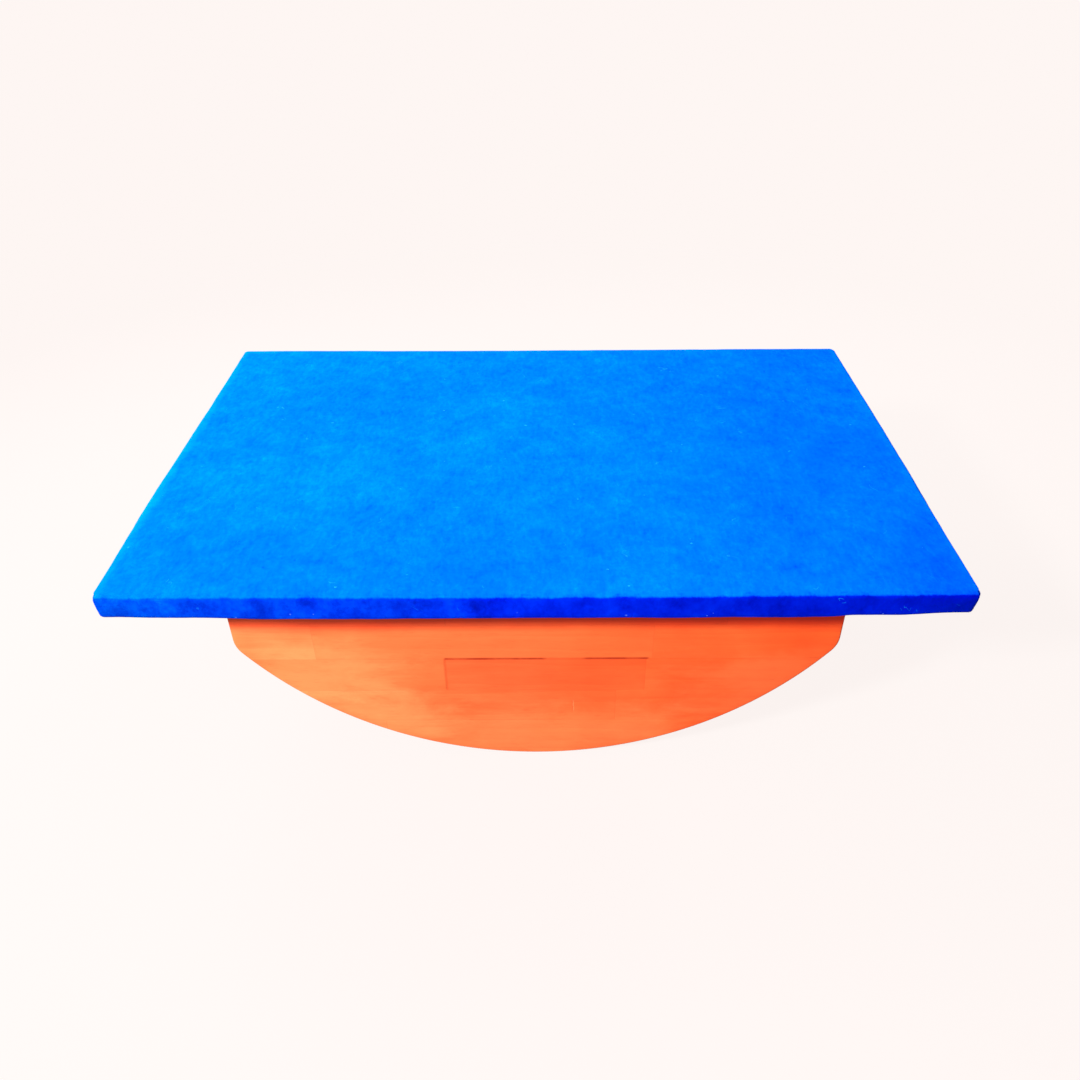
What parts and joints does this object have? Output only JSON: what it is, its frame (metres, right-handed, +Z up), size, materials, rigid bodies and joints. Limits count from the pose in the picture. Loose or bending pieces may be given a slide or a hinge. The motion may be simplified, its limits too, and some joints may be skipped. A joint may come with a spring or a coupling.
{
  "type": "balance board",
  "caption": "Rectangular carpeted rocker board for balance training: a padded plywood deck on two D-shaped wooden rockers joined by cross rails.",
  "frame": {"origin": "on the floor under the middle of the board, where the rockers touch it when the board stands level", "axes": "+X along the long side, which is also the rocking direction; +Y from the front rocker to the rear one; +Z up"},
  "size_m": [0.6, 0.4, 0.185],
  "materials": {
    "blue_carpet": "short-pile needled carpet, matte",
    "underlay_felt": "grey pressed felt",
    "deck_plywood": "unfinished birch plywood",
    "varnished_wood": "edge-glued panel under a satin orange-toned varnish",
    "dowel_beech": "plain beech",
    "zinc_steel": "zinc plated",
    "staple_wire": "bright galvanised wire"
  },
  "bodies": {
    "root": {"deck_panel": "deck_plywood", "underlay_pad": "underlay_felt", "carpet_cover": "blue_carpet", "rocker_front": "varnished_wood", "rocker_rear": "varnished_wood", "cross_rail_left": "varnished_wood", "cross_rail_right": "varnished_wood", "rocker_screw_front_1": "zinc_steel", "rocker_screw_front_2": "zinc_steel", "rocker_screw_front_3": "zinc_steel", "rocker_screw_front_4": "zinc_steel", "rocker_screw_rear_1": "zinc_steel", "rocker_screw_rear_2": "zinc_steel", "rocker_screw_rear_3": "zinc_steel", "rocker_screw_rear_4": "zinc_steel", "rail_screw_left_1": "zinc_steel", "rail_screw_left_2": "zinc_steel", "rail_screw_left_3": "zinc_steel", "rail_screw_right_1": "zinc_steel", "rail_screw_right_2": "zinc_steel", "rail_screw_right_3": "zinc_steel", "rail_dowel_front_left_upper": "dowel_beech", "rail_dowel_front_left_lower": "dowel_beech", "rail_dowel_front_right_upper": "dowel_beech", "rail_dowel_front_right_lower": "dowel_beech", "rail_dowel_rear_left_upper": "dowel_beech", "rail_dowel_rear_left_lower": "dowel_beech", "rail_dowel_rear_right_upper": "dowel_beech", "rail_dowel_rear_right_lower": "dowel_beech", "hem_staple_front_1": "staple_wire", "hem_staple_front_2": "staple_wire", "hem_staple_front_3": "staple_wire", "hem_staple_front_4": "staple_wire", "hem_staple_front_5": "staple_wire", "hem_staple_front_6": "staple_wire", "hem_staple_front_7": "staple_wire", "hem_staple_front_8": "staple_wire", "hem_staple_rear_1": "staple_wire", "hem_staple_rear_2": "staple_wire", "hem_staple_rear_3": "staple_wire", "hem_staple_rear_4": "staple_wire", "hem_staple_rear_5": "staple_wire", "hem_staple_rear_6": "staple_wire", "hem_staple_rear_7": "staple_wire", "hem_staple_rear_8": "staple_wire", "hem_staple_left_1": "staple_wire", "hem_staple_left_2": "staple_wire", "hem_staple_left_3": "staple_wire", "hem_staple_left_4": "staple_wire", "hem_staple_left_5": "staple_wire", "hem_staple_right_1": "staple_wire", "hem_staple_right_2": "staple_wire", "hem_staple_right_3": "staple_wire", "hem_staple_right_4": "staple_wire", "hem_staple_right_5": "staple_wire", "hem_staple_corner_1": "staple_wire", "hem_staple_corner_2": "staple_wire", "hem_staple_corner_3": "staple_wire", "hem_staple_corner_4": "staple_wire"}
  },
  "joints": []
}
